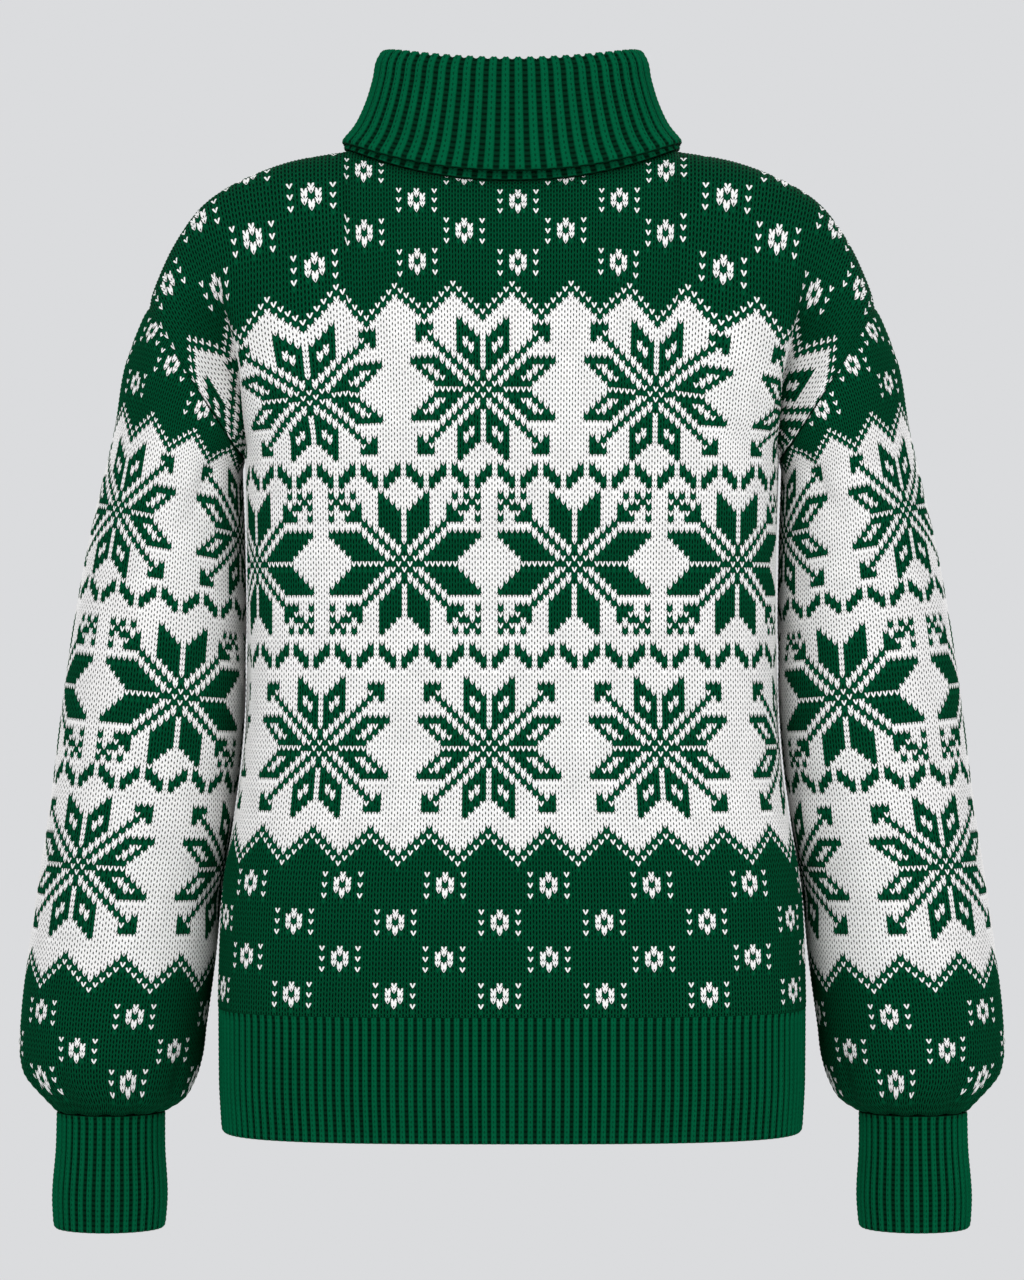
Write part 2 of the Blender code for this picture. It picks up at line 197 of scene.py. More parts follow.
# Charts: rows of the motifs, counted up from the rib
STAR_PERIOD = 30
BORDER_PERIOD = 10
WAVE_PERIOD = 8
FLOWER_PERIOD = 17
BODY_CHART = {
    "stars": ((50, -4, "open"), (83, 11, "solid"), (114, -5, "open")),
    "waves": ((66, 0), (98, -3)),
    "lower_border": (34, -4),
    "upper_border": (128, -5),
    "flowers": ((4, -2), (11, 6), (18, -2), (25, 6), (137, 1), (143, -8), (149, 1), (155, -8), (161, 1)),
}
SLEEVE_CHART = {
    "stars": ((45, 15, "open"), (77, 29, "solid"), (110, 13, "open")),
    "waves": ((61, 0), (94, 0)),
    "lower_border": (28, 15),
    "upper_border": (124, 13),
    "flowers": ((5, 28), (11, 19), (18, 28), (134, 28), (140, 19), (145, 28)),
}

# Ribs
COLLAR_RIBS = 58
HEM_RIBS = 87
CUFF_RIBS = 37
RIB_ROW = 0.0032
RIB_DEPTH = 0.0019
BACK_ROWS = 5
RIB_FAT = (-0.05, 0.10)
RIB_EDGE_TURN = {"hem": 0.0012, "cuff": 0.0014, "collar": 0.0010}
RIB_TURN_ROWS = 3.0
RIB_FADE_ROWS = 4
CUFF_TOP_FADE_ROWS = 3
RIB_LEAST = 0.35
COLLAR_RIB_LEAST = 0.45
RIB_PROFILE_COLUMNS = ("share", "height")
RIB_PROFILE = (
    (0.00, -1.00),
    (0.20, -0.72),
    (0.34, 0.00),
    (0.50, -0.22),
    (0.66, 0.00),
    (0.80, -0.72),
)

# The flat map that every piece carries, in lanes for its face, its inside and its edges
FLAT_MAP = "OFBake"
FLAT_MAP_EDGE = 0.01
FACE_LANE = (0.15, 0.99)
WALL_LANE = (0.01, 0.10)
RIB_FACE_LANE = (0.56, 0.99)
RIB_BACK_LANE = (0.15, 0.54)
RIM_LANES = ((0.108, 0.112), (0.118, 0.122), (0.128, 0.132), (0.138, 0.142))
CELL_HALVES = ((0, 1, 2), (0, 2, 3))

# Soft folds pressed into the jersey: place in stitches and rows, turn in degrees
FOLD_COLUMNS = ("column", "row", "turn", "length", "width", "depth")
BACK_FOLDS = (
    (-60, 92, 4, 50, 10, 3),
    (59, 88, -5, 60, 11, 2.8),
    (-56, 60, 12, 45, 14, 1.8),
    (58, 48, -9, 50, 12, 2),
    (-50, 122, 38, 40, 12, 2.2),
    (49, 121, -36, 45, 13, 2.4),
    (-30, 8, 6, 22, 9, 1.4),
    (-17, 3, -4, 16, 4, 1.6),
    (14, 6, 8, 20, 8, 1.2),
    (38, 10, -7, 28, 10, 1.5),
    (-52, 12, 5, 30, 9, 1.8),
    (54, 9, -6, 26, 8, 1.8),
)
FRONT_FOLDS = (
    (-59, 90, -3, 55, 11, 2.8),
    (60, 84, 6, 50, 10, 3),
    (-57, 52, 9, 48, 13, 2),
    (55, 64, -11, 42, 12, 1.8),
    (-48, 120, 35, 42, 13, 2.4),
    (51, 123, -39, 38, 12, 2.2),
    (-36, 9, 5, 25, 10, 1.4),
    (-8, 5, -6, 20, 7, 1.3),
    (22, 8, 7, 24, 9, 1.4),
    (50, 11, -5, 28, 9, 1.7),
)
SLEEVE_FOLDS = (
    (24, 4, 3, 18, 6, 2.2),
    (16, 5, 8, 20, 6, 2.4),
    (8, 4, 12, 18, 5, 2),
    (31, 5, -6, 22, 6, 2.2),
    (39, 4, -11, 18, 5, 2.4),
    (-6, 4.5, -4, 19, 6, 2.2),
    (-15, 5, 6, 21, 6, 2.4),
    (-24, 4, -8, 18, 5, 2.1),
    (-33, 5, 9, 20, 6, 2.2),
    (-42, 4, -3, 18, 6, 2.2),
    (40, 88, 62, 30, 9, 2.4),
    (38, 60, 74, 26, 10, 2),
    (41, 38, 66, 24, 9, 1.8),
    (-40, 82, -64, 30, 9, 2.4),
    (-38, 54, -72, 26, 10, 2),
    (33, 119, 30, 34, 8, 3),
    (-32, 117, -32, 34, 8, 3),
    (12, 134, -24, 30, 9, 1.4),
    (-13, 132, 26, 30, 9, 1.4),
)

# Yarn colours, then painted shade for the gaps between legs and for the rib troughs
GREEN_YARN = (0.0003, 0.0770, 0.0290)
WHITE_YARN = (0.9650, 0.9520, 0.9350)
# Painted shade: dark green and grey stand for the shade in the pores between legs of one colour, and a shaded
# green for the notches beside legs of the other colour
GREEN_GAP_SHADE = (0.0002, 0.0080, 0.0035)
WHITE_GAP_SHADE = (0.0650, 0.0680, 0.0640)
SHADED_GREEN_BESIDE_WHITE = (0.0003, 0.0420, 0.0165)
RIB_YARN = (0.0003, 0.0980, 0.0385)
# Painted shade in the rib troughs: the trough and its purl bars are the rib yarn drawn far darker
RIB_TROUGH_SHADE = (0.0002, 0.0090, 0.0037)
SHADED_RIB_BAR = (0.0003, 0.0300, 0.0118)


# ---- curves and surfaces ----


def named(table, columns, name):
    """One named column of a table, as an array."""
    return np.array([row[columns.index(name)] for row in table])


def lengths(table, columns, name):
    """One named column of lengths, in metres."""
    return MM * named(table, columns, name)


def follow(at, stations, values):
    """A smooth curve through the stations that adds no hump of its own between them."""
    gaps = np.diff(stations)
    steps = np.diff(values) / gaps
    slopes = np.concatenate([steps[:1], np.zeros(len(steps) - 1), steps[-1:]])
    same_way = steps[:-1] * steps[1:] > 0
    total = np.where(same_way, steps[:-1] + steps[1:], 1.0)
    slopes[1:-1] = np.where(same_way, 2.0 * steps[:-1] * steps[1:] / total, 0.0)
    at = np.clip(at, stations[0], stations[-1])
    i = np.clip(np.searchsorted(stations, at, side="right") - 1, 0, len(gaps) - 1)
    s = (at - stations[i]) / gaps[i]
    start = values[i] * (1 + 2 * s) * (1 - s) ** 2 + values[i + 1] * s * s * (3 - 2 * s)
    return start + gaps[i] * (slopes[i] * s * (1 - s) ** 2 - slopes[i + 1] * s * s * (1 - s))


def spline(at, knots, values):
    """A smooth curve through whole rows of values, one row at each knot."""
    shape = (-1,) + (1,) * (values.ndim - 1)
    gaps = np.diff(knots).reshape(shape)
    steps = np.diff(values, axis=0) / gaps
    inner = (steps[:-1] * gaps[1:] + steps[1:] * gaps[:-1]) / (gaps[:-1] + gaps[1:])
    slopes = np.concatenate([steps[:1], inner, steps[-1:]])
    i = np.clip(np.searchsorted(knots, at, side="right") - 1, 0, len(knots) - 2)
    s = ((at - knots[i]) / np.diff(knots)[i]).reshape(shape)
    start = values[i] * (1 + 2 * s) * (1 - s) ** 2 + values[i + 1] * s * s * (3 - 2 * s)
    return start + gaps[i] * (slopes[i] * s * (1 - s) ** 2 - slopes[i + 1] * s * s * (1 - s))


def along(line, shares):
    """Points of a polyline at these shares of its length."""
    lengths = np.concatenate([[0.0], np.cumsum(np.linalg.norm(np.diff(line, axis=0), axis=1))])
    at = np.asarray(shares) * lengths[-1]
    return np.stack([np.interp(at, lengths, line[:, k]) for k in range(line.shape[1])], axis=1)


def ease(share):
    """0 to 1 with a soft start and end."""
    share = np.clip(share, 0.0, 1.0)
    return share * share * (3.0 - 2.0 * share)


def unit(vectors):
    """The same directions, one long."""
    return vectors / np.linalg.norm(vectors, axis=-1, keepdims=True)


def surface_normals(points, wrap, flip):
    """A normal at each point of a surface given as rows of points."""
    if wrap:
        across = np.roll(points, -1, axis=1) - np.roll(points, 1, axis=1)
    else:
        across = np.gradient(points, axis=1)
    normals = unit(np.cross(across, np.gradient(points, axis=0)))
    return -normals if flip else normals


def quarter_round(half_width, half_depth, roundness):
    """From the middle of the back (0, depth) to the side (width, 0) of a rounded oblong."""
    turn = np.linspace(0.0, np.pi / 2, FINE)
    across = half_width * np.sin(turn) ** (2 / roundness)
    deep = half_depth * np.cos(turn).clip(0.0) ** (2 / roundness)
    return np.stack([across, deep], axis=1)


def body_ring(shares, height, face):
    """Half a ring of the body at this height: shares run from -1 at one side seam to 1 at the other."""
    heights = lengths(BODY, BODY_COLUMNS, "height")
    half_width = follow(height, heights, lengths(BODY, BODY_COLUMNS, "half_width"))
    half_depth = follow(height, heights, lengths(BODY, BODY_COLUMNS, "half_depth"))
    flat = along(quarter_round(half_width, half_depth, BODY_ROUNDNESS), np.abs(shares))
    return np.stack([np.sign(shares) * flat[:, 0], face * flat[:, 1], np.full(len(shares), height)], axis=1)


def neck_line(side):
    """The neck seam of one panel from its middle to the shoulder."""
    flat = quarter_round(NECK_HALF_WIDTH, NECK_DEPTH[side], NECK_ROUNDNESS)
    height = -NECK_DROP[side] * (flat[:, 1] / NECK_DEPTH[side]) ** 2
    return np.column_stack([flat, height])


def shoulder_line():
    """The shoulder seam from the neck out to the sleeve."""
    out = lengths(SHOULDER, SHOULDER_COLUMNS, "out")
    height = lengths(SHOULDER, SHOULDER_COLUMNS, "height")
    run = np.concatenate([[0.0], np.cumsum(np.hypot(np.diff(out), np.diff(height)))])
    at = np.linspace(0.0, run[-1], FINE)
    return np.column_stack([follow(at, run, out), np.zeros(FINE), follow(at, run, height)])


def top_edge(shares, side):
    """Where each column of a panel ends: evenly across the neck seam, then evenly along the shoulder seam."""
    size = np.abs(shares)
    curve = neck_line(side)
    across = NECK_HALF_WIDTH * np.clip(size / NECK_SHARE, 0.0, 1.0)
    neck = np.stack([np.interp(across, curve[:, 0], curve[:, k]) for k in range(3)], axis=1)
    shoulder = along(shoulder_line(), np.clip((size - NECK_SHARE) / (1.0 - NECK_SHARE), 0.0, 1.0))
    return np.where((size <= NECK_SHARE)[:, None], neck, shoulder)


def upper_columns(shares, side):
    """Four guide points for each column of a panel above the underarm, in the x > 0 half with y = depth."""
    size = np.abs(shares)
    start = body_ring(size, UNDERARM_HEIGHT, 1.0)
    end = top_edge(shares, side)
    arm = ease((size - ARM_TURN) / (1.0 - ARM_TURN))[:, None]
    rise = RISE_MIDDLE + (RISE_SIDE - RISE_MIDDLE) * ease(size / ARM_TURN)
    up = np.column_stack([np.zeros(len(size)), np.zeros(len(size)), rise])
    leave = up * (1 - arm) + np.array([0.0, ARMHOLE_ROLL, 0.0]) * arm
    stations = named(ARRIVAL, ARRIVAL_COLUMNS, "share")
    before = end.copy()
    before[:, 0] = np.where(size < NECK_SHARE, NECK_HALF_WIDTH * size / NECK_SHARE, end[:, 0])
    before[:, 1] = follow(size, stations, lengths(ARRIVAL, ARRIVAL_COLUMNS, "depth"))
    before[:, 2] -= follow(size, stations, lengths(ARRIVAL, ARRIVAL_COLUMNS, "drop"))
    return start, start + leave, before, end


def fold_in(points, shares):
    """Presses the underarm fold into the upper half of a panel, in the x > 0 half with y = depth."""
    above = points[:, :, 2] - UNDERARM_HEIGHT
    past = points[:, :, 0] - (FOLD_OUT + FOLD_LEAN * above)
    across = np.exp(-((past / np.where(past < 0.0, FOLD_STEEP, FOLD_GENTLE)) ** 2))
    fade = ease(above / FOLD_START) * (1.0 - ease((above - FOLD_HOLD) / (FOLD_END - FOLD_HOLD)))
    at_seam = 1.0 - ease((np.abs(shares) - FOLD_SEAM_SHARE) / (1.0 - FOLD_SEAM_SHARE))
    pressed = across * fade * at_seam[None, :]
    sunk = points.copy()
    sunk[:, :, 0] -= FOLD_TUCK * pressed ** 2
    sunk[:, :, 1] -= FOLD_DEPTH * pressed
    return sunk


def run_along(points):
    """How far along its row each point lies."""
    steps = np.linalg.norm(np.diff(points, axis=0), axis=1)
    return np.concatenate([[0.0], np.cumsum(steps)])


def spread(plain, folded, dense, wanted):
    """Reads a folded surface so that its columns stay evenly spaced along the cloth through the fold."""
    first = np.searchsorted(dense, FOLD_SPREAD_FROM)
    rows = []
    for before, after in zip(plain, folded):
        plain_run, folded_run = run_along(before), run_along(after)
        stretch = (folded_run[-1] - folded_run[first]) / (plain_run[-1] - plain_run[first])
        place = folded_run.copy()
        place[first:] = folded_run[first] + (plain_run[first:] - plain_run[first]) * stretch
        place = np.interp(wanted, dense, place)
        rows.append(np.stack([np.interp(place, folded_run, after[:, k]) for k in range(3)], axis=1))
    return np.stack(rows)


def panel_surface(shares, side, body_heights, upper_steps):
    """The outside of a body panel as rows of points, from the hem rib up to the neck and shoulders."""
    face = -1.0 if side == "back" else 1.0
    lower = np.stack([body_ring(shares, height, face) for height in body_heights])
    dense = np.linspace(0.0, 1.0, FINE)
    guides = upper_columns(dense, side)
    t = np.linspace(0.0, 1.0, FINE)[:, None, None]
    weights = ((1 - t) ** 3, 3 * t * (1 - t) ** 2, 3 * t * t * (1 - t), t ** 3)
    fine = sum(weight * guide[None] for weight, guide in zip(weights, guides))
    plain = np.stack([along(fine[:, j], upper_steps) for j in range(FINE)], axis=1)
    upper = spread(plain, fold_in(plain, dense), dense, np.abs(shares))
    upper[:, :, 0] *= np.sign(shares)[None, :]
    upper[:, :, 1] *= face
    return np.concatenate([lower, upper[1:]])


def ring_points(outer, inner, half_depth, forward, turns):
    """A sleeve ring: turn 0 is its outer end, a half turn its inner end, and -Y comes first."""
    middle = (outer + inner) / 2
    reach = (outer - inner) / 2
    deep = np.array([0.0, -half_depth, 0.0])
    points = middle + np.cos(turns)[:, None] * reach + np.sin(turns)[:, None] * deep
    points[:, 1] += forward
    return points


def armhole(turns):
    """The sleeve seam at these turns, read off the panels' side edges."""
    steps = np.linspace(0.0, 1.0, FINE)
    edge = np.array([1.0])
    up = {side: panel_surface(edge, side, [UNDERARM_HEIGHT], steps)[:, 0] for side in ("back", "front")}
    share = 1.0 - np.abs(turns) / np.pi
    back = np.stack([np.interp(share, steps, up["back"][:, k]) for k in range(3)], axis=1)
    front = np.stack([np.interp(share, steps, up["front"][:, k]) for k in range(3)], axis=1)
    return np.where((turns >= 0)[:, None], back, front)


def sleeve_rings(turns):
    """The rings of the sleeve in the x > 0 half and the level of each, from the cuff to the armhole."""
    rings = []
    for outer_x, outer_z, inner_x, inner_z, half_depth, forward in MM * np.array(SLEEVE)[:, :-1]:
        outer = np.array([outer_x, 0.0, outer_z])
        inner = np.array([inner_x, 0.0, inner_z])
        rings.append(ring_points(outer, inner, half_depth, forward, turns))
    seam = armhole(turns)
    cap = 0.5 * (rings[-1] + seam)
    cap[:, 0] += CAP_BULGE * (1 + np.cos(turns)) / 2
    levels = np.append(named(SLEEVE, SLEEVE_COLUMNS, "row"), (CAP_LEVEL, SEAM_LEVEL))
    return np.stack(rings + [cap, seam]), levels


def collar_rings(shares, rows):
    """The middle of the collar's cloth, all round at each row, and how far along the cloth each row lies."""
    table = MM * np.array(COLLAR)
    run = np.hypot(np.diff(table[:, 0]), np.diff(table[:, 3]))
    knots = np.concatenate([[0.0], np.cumsum(run)])
    fine = spline(np.linspace(0.0, knots[-1], rows), knots, table)
    rings = []
    for half_width, back, front, side_height, back_height, front_height in fine:
        half = np.abs(shares)
        rear = half <= 0.5
        quarters = {}
        for side, depth, height in (("back", back, back_height), ("front", front, front_height)):
            part = half * 2 if side == "back" else (1 - half) * 2
            flat = along(quarter_round(half_width, depth, NECK_ROUNDNESS), np.clip(part, 0.0, 1.0))
            lift = side_height + (height - side_height) * (flat[:, 1] / depth) ** 2
            facing = -1.0 if side == "back" else 1.0
            quarters[side] = np.column_stack([flat[:, 0] * np.sign(shares), facing * flat[:, 1], lift])
        rings.append(np.where(rear[:, None], quarters["back"], quarters["front"]))
    return np.stack(rings)


# ---- cloth as points and triangles ----


def corners(grid):
    """The low near, low far, high far and high near corner of each cell of a grid."""
    return grid[:-1, :-1], grid[:-1, 1:], grid[1:, 1:], grid[1:, :-1]


def closed(grid):
    """A grid that goes all round, with its first column again at its end."""
    return np.concatenate([grid, grid[:, :1]], axis=1)


def in_lane(spots, lane):
    """Moves spots in a unit square into one lane of a piece's flat map."""
    low, high = lane
    across = FLAT_MAP_EDGE + (1.0 - 2 * FLAT_MAP_EDGE) * spots[..., 0]
    return np.stack([across, low + (high - low) * spots[..., 1]], axis=-1)


def grid_spots(rows, columns):
    """The spots of a grid of points in a unit square."""
    up, across = np.meshgrid(np.linspace(0.0, 1.0, rows), np.linspace(0.0, 1.0, columns), indexing="ij")
    return np.stack([across, up], axis=-1)


class Cloth:
    """The points and triangles of one piece, with the stitch place and yarns of each triangle."""

    def __init__(self):
        self.points = []
        self.count = 0
        self.triangles = []
        self.places = []
        self.yarns = []
        self.finishes = []
        self.spots = []
        self.rims = 0

    def add_points(self, points):
        """Adds points and returns their numbers."""
        flat = points.reshape(-1, 3)
        numbers = np.arange(self.count, self.count + len(flat)).reshape(points.shape[:-1])
        self.points.append(flat)
        self.count += len(flat)
        return numbers

    def add_triangles(self, triangles, spots, places=None, yarns=None, finish=0):
        """Adds triangles with their spots on the flat map, leaving out those with no area."""
        a, b, c = triangles.T
        real = (a != b) & (b != c) & (c != a)
        self.triangles.append(triangles[real])
        places = np.zeros((len(triangles), 3, 2)) if places is None else places
        yarns = np.zeros((len(triangles), 4)) if yarns is None else yarns
        self.places.append(places[real])
        self.yarns.append(yarns[real])
        self.finishes.append(np.full(real.sum(), finish))
        self.spots.append(spots[real])

    def add_grid(self, numbers, spots, places=None, finish=0):
        """Adds a grid of points as triangles."""
        number = [corner.ravel() for corner in corners(numbers)]
        spot = [corner.reshape(-1, 2) for corner in corners(spots)]
        for picks in CELL_HALVES:
            triangles = np.stack([number[pick] for pick in picks], axis=1)
            place = None
            if places is not None:
                cells = [corner.reshape(-1, 2) for corner in corners(places)]
                place = np.stack([cells[pick] for pick in picks], axis=1)
            flat = np.stack([spot[pick] for pick in picks], axis=1)
            self.add_triangles(triangles, flat, place, finish=finish)

    def add_rim(self, one, other):
        """Closes the gap between two edges that run the same way, whatever their numbers of points."""
        i, j, made, spots = 0, 0, [], []
        one_share = np.linspace(0.0, 1.0, len(one))
        other_share = np.linspace(0.0, 1.0, len(other))
        while i < len(one) - 1 or j < len(other) - 1:
            here, there = (one_share[i], 1.0), (other_share[j], 0.0)
            ended = j == len(other) - 1
            if ended or (i < len(one) - 1 and one_share[i + 1] <= other_share[j + 1]):
                made.append((one[i], one[i + 1], other[j]))
                spots.append((here, (one_share[i + 1], 1.0), there))
                i += 1
            else:
                made.append((one[i], other[j + 1], other[j]))
                spots.append((here, (other_share[j + 1], 0.0), there))
                j += 1
        self.add_triangles(np.array(made), in_lane(np.array(spots), RIM_LANES[self.rims]))
        self.rims += 1

    def to_object(self, name, finishes):
        """The finished piece, smooth, closed and with its faces outwards."""
        points = np.concatenate(self.points)
        triangles = np.concatenate(self.triangles)
        mesh = bpy.data.meshes.new(name)
        mesh.vertices.add(len(points))
        mesh.vertices.foreach_set("co", points.ravel())
        mesh.loops.add(triangles.size)
        mesh.loops.foreach_set("vertex_index", triangles.ravel())
        mesh.polygons.add(len(triangles))
        mesh.polygons.foreach_set("loop_start", np.arange(0, triangles.size, 3))
        mesh.polygons.foreach_set("material_index", np.concatenate(self.finishes))
        mesh.update(calc_edges=True)
        stitch = mesh.uv_layers.new(name="stitch")
        stitch.uv.foreach_set("vector", np.concatenate(self.places).ravel())
        flat = mesh.uv_layers.new(name=FLAT_MAP)
        flat.uv.foreach_set("vector", np.concatenate(self.spots).ravel())
        yarns = mesh.attributes.new("yarns", "FLOAT_COLOR", "FACE")
        yarns.data.foreach_set("color", np.concatenate(self.yarns).ravel())
        for finish in finishes:
            mesh.materials.append(finish)
        tidy = bmesh.new()
        tidy.from_mesh(mesh)
        bmesh.ops.recalc_face_normals(tidy, faces=tidy.faces)
        tidy.to_mesh(mesh)
        tidy.free()
        mesh.shade_smooth()
        piece = bpy.data.objects.new(name, mesh)
        bpy.context.scene.collection.objects.link(piece)
        return piece


def press_folds(points, normals, columns, rows, folds):
    """Presses the soft folds of a table into a surface that is knitted in these columns and rows."""
    pressed = np.zeros(rows.shape)
    for column, row, turn, length, width, depth in folds:
        out = (columns - column) * STITCH_WIDTH
        up = (rows - row) * ROW_HEIGHT
        turn = np.radians(turn)
        lengthways = out * np.sin(turn) + up * np.cos(turn)
        across = out * np.cos(turn) - up * np.sin(turn)
        pressed -= MM * depth * np.exp(-((lengthways / (MM * length)) ** 2) - (across / (MM * width)) ** 2)
    return points + normals * pressed[:, :, None]


def at_rows(values, rows, wanted):
    """Reads a surface at the wanted rows of each column line."""
    lines = []
    for j in range(rows.shape[1]):
        line = [np.interp(wanted[:, j], rows[:, j], values[:, j, k]) for k in range(3)]
        lines.append(np.stack(line, axis=1))
    return np.stack(lines, axis=1)


def seam_roll(distance):
    """How far the cloth turns in at this many stitches from a seam."""
    return SEAM_ROLL * np.exp(-((distance / SEAM_ROLL_WIDTH) ** 2))


def add_stitches(cloth, surface, normals, rows, tops, white, wrap):
    """Knits the face of a piece: two legs to a stitch, four triangles to a leg, and its upper edge.

    Column lines alternate between a stitch's side and its middle, and the middle hangs half a row lower.
    white says which yarn the stitch at a column and row number is knitted in.
    """
    count = surface.shape[1]
    last = int(np.ceil(tops.max())) + 1
    drop = np.where(np.arange(count) % 2 == 0, 0.0, 0.5)
    levels = np.arange(last + 1)[:, None] - drop[None, :]
    levels = np.clip(levels, 0.0, tops[None, :])
    points = at_rows(surface, rows, levels)
    outward = unit(at_rows(normals, rows, levels))
    numbers = cloth.add_points(points)
    fresh = np.ones(levels.shape, bool)
    fresh[1:] = levels[1:] > levels[:-1] + LEAST_RISE
    numbers = np.maximum.accumulate(np.where(fresh, numbers, -1), axis=0)
    if wrap:
        numbers, points, outward = closed(numbers), closed(points), closed(outward)
        drop = np.append(drop, drop[0])
    spots = grid_spots(*numbers.shape)
    spots[..., 1] = (np.arange(last + 1)[:, None] + 0.5 - drop) / (last + 0.5)
    spot = dict(zip("abcd", corners(in_lane(spots, FACE_LANE))))
    spot_heart = sum(spot.values()) / 4
    number = dict(zip("abcd", corners(numbers)))
    out = unit(outward[:-1, :-1] + outward[1:, 1:])
    size = np.linalg.norm(points[1:] - points[:-1], axis=2)
    plump = LEG_PLUMP * np.clip((size[:, :-1] + size[:, 1:]) / (2 * ROW_HEIGHT), 0.0, 1.0)
    middle = cloth.add_points(sum(corners(points)) / 4 + out * plump[:, :, None])
    row = np.arange(middle.shape[0])[:, None]
    leg = np.arange(middle.shape[1])
    left = leg % 2 == 0
    near_side, far_side = np.where(left, 0.5, 0.0), np.where(left, 0.0, 0.5)
    corner = {"a": (near_side, 0.0), "b": (far_side, 0.0), "c": (far_side, 1.0), "d": (near_side, 1.0)}
    corner = {key: np.stack(np.broadcast_arrays(*pair), axis=-1) for key, pair in corner.items()}
    heart = np.broadcast_to(LEG_HEART, corner["a"].shape)
    stitch = leg // 2
    beside = stitch + np.where(left, -1, 1)
    seen = ((stitch, row), (stitch, row + 1), (stitch, row - 1), (beside, row))
    yarns = np.stack([white(*place) for place in seen], axis=-1).astype(float)
    for one, two in ("ab", "bc", "cd", "da"):
        triangles = np.stack([number[one], number[two], middle], axis=-1).reshape(-1, 3)
        place = np.stack([corner[one], corner[two], heart], axis=1)
        place = np.broadcast_to(place[None], middle.shape + (3, 2)).reshape(-1, 3, 2)
        spots = np.stack([spot[one], spot[two], spot_heart], axis=-2).reshape(-1, 3, 2)
        cloth.add_triangles(triangles, spots, place, yarns.reshape(-1, 4))
    return numbers


# ---- charts ----


def near(column, first, period):
    """Distance in stitches to the nearest column first + n * period, with its sign."""
    half = period // 2
    return (column - first + half) % period - half


def star_is_green(i, j, style):
    """An eight-pointed star: four pairs of leaves, a white line between them, and a stem to each corner."""
    low = np.minimum(np.abs(i), np.abs(j))
    high = np.maximum(np.abs(i), np.abs(j))
    flat = np.abs(i) > np.abs(j)
    widest = np.where(flat, 5, 4)
    reach = np.where(flat & (style == "open"), 7, 8)
    leaf = (low >= 1) & (low <= widest) & (high >= low + 3) & (high <= low + reach)
    heart = (low == 0) & ((high == 0) | (high == 2) | (high == 3))
    if style == "open":
        upright_eye = ((low == 2) & ((high == 7) | (high == 8))) | ((low == 3) & ((high == 8) | (high == 9)))
        flat_eye = (low >= 2) & (low <= 4) & (high >= low + 5) & (high <= low + 6)
        eye = np.where(flat, flat_eye, upright_eye)
        stem = (low == high) & (high <= 11)
        arrow = (high == 11) & (low >= 9)
        return (leaf & ~eye) | heart | stem | arrow
    stem = (low == high) & (high <= 10)
    fan = (low == 8) & (high <= 10)
    across, up = np.abs(i) - 12, np.abs(j) - 11
    cross = (np.abs(across) == np.abs(up)) & (np.abs(up) <= 1)
    dots = ((np.abs(i) == 9) & (np.abs(j) == 12)) | ((np.abs(i) == 13) & (np.abs(j) == 8))
    return leaf | heart | stem | fan | cross | dots


def flower_is_white(i, j):
    """A little ring with three dots down each side."""
    across, up = np.abs(i), np.abs(j)
    ring = ((across == 0) & ((up == 1) | (up == 2))) | ((across == 1) & (up <= 1))
    dots = (across == 3) & (up % 2 == 0) & (up <= 2)
    return ring | dots


def wave_is_green(column, up):
    """Short slanting bars with one plain stitch between them, four rows high."""
    out = np.abs(near(column, 0, WAVE_PERIOD))
    bar = (out >= 1) & (out <= 3)
    return bar & (up >= 2 - out) & (up <= 3 - out)


def chart(marks, first_column):
    """A function that says which stitches are white, for a piece whose first stitch has this number."""

    def white(stitch, row):
        column, row = np.broadcast_arrays(stitch + first_column, row)
        peak, at = marks["lower_border"]
        low_line = peak - np.abs(near(column, at, BORDER_PERIOD))
        valley, at = marks["upper_border"]
        high_line = valley + np.abs(near(column, at, BORDER_PERIOD))
        ground = (row >= low_line + 2) & (row <= high_line - 2)
        line = (row == low_line) | (row == high_line)
        result = ground | line
        for middle, at, style in marks["stars"]:
            i = near(column, at, STAR_PERIOD)
            result &= ~star_is_green(i, row - middle, style)
        for middle, at in marks["waves"]:
            result &= ~wave_is_green(column - at, row - middle)
        for middle, at in marks["flowers"]:
            result |= flower_is_white(near(column, at, FLOWER_PERIOD), row - middle)
        return result

    return white


# ---- jersey pieces ----


def panel_tops(columns, side):
    """The last row of each column line: a curve at the neck, then a slope down to the shoulder point."""
    neck = NECK_SHARE * PANEL_STITCHES / 2
    size = np.abs(columns)
    middle = NECK_MIDDLE_ROW[side]
    at_neck = middle + (NECK_SIDE_ROW - middle) * (size / neck) ** NECK_CURVE
    slope = (size - neck) / (PANEL_STITCHES / 2 - neck)
    at_shoulder = NECK_SIDE_ROW + (SHOULDER_POINT_ROW - NECK_SIDE_ROW) * slope
    return np.where(size <= neck, at_neck, at_shoulder)


